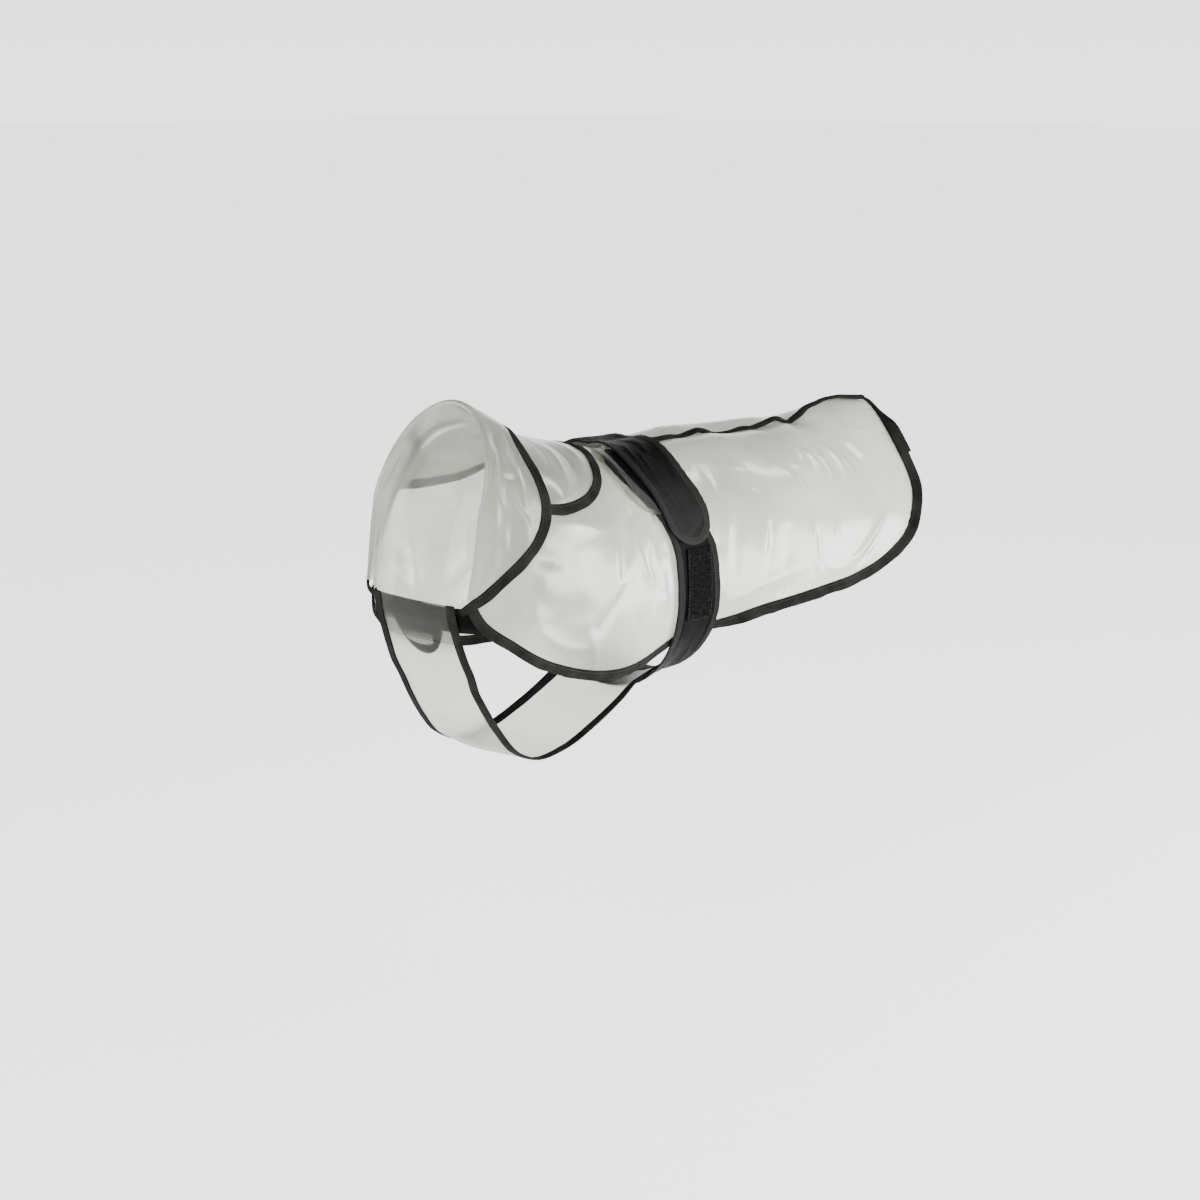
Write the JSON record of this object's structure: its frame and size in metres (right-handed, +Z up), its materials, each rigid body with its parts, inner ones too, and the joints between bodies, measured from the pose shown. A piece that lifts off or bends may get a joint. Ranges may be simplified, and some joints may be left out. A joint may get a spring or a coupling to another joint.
{
  "type": "dog raincoat",
  "caption": "Worn see-through dog raincoat in bound clear film: back panels, turned-down collar, leash flap, chest bib and a wide closing belt round a hollow form.",
  "frame": {"origin": "on the underside of the coat's back, on the spine at mid-back, where the wearer's back holds it up", "axes": "+X from the head end to the tail end, +Y to the wearer's right, +Z up"},
  "size_m": [0.6269, 0.1928, 0.3134],
  "materials": {
    "film": "frosted see-through thermoplastic film, semi-gloss",
    "tape": "black woven edge tape, folded over the film and stitched",
    "belt": "black plain-woven nylon cloth, matt",
    "loop_pile": "black looped pile of a hook-and-loop closure"
  },
  "bodies": {
    "root": {"belt_lower": "belt", "belt_upper": "belt", "bib": "film", "bib_tape_left": "tape", "bib_tape_right": "tape", "chest_tab_left": "belt", "chest_tab_right": "belt", "collar": "film", "collar_tape": "tape", "flap_tape": "tape", "hem_tape_left": "tape", "hem_tape_right": "tape", "leash_flap": "film", "panel_left": "film", "panel_right": "film", "spine_tape": "tape", "velcro_loop": "loop_pile"}
  },
  "joints": []
}
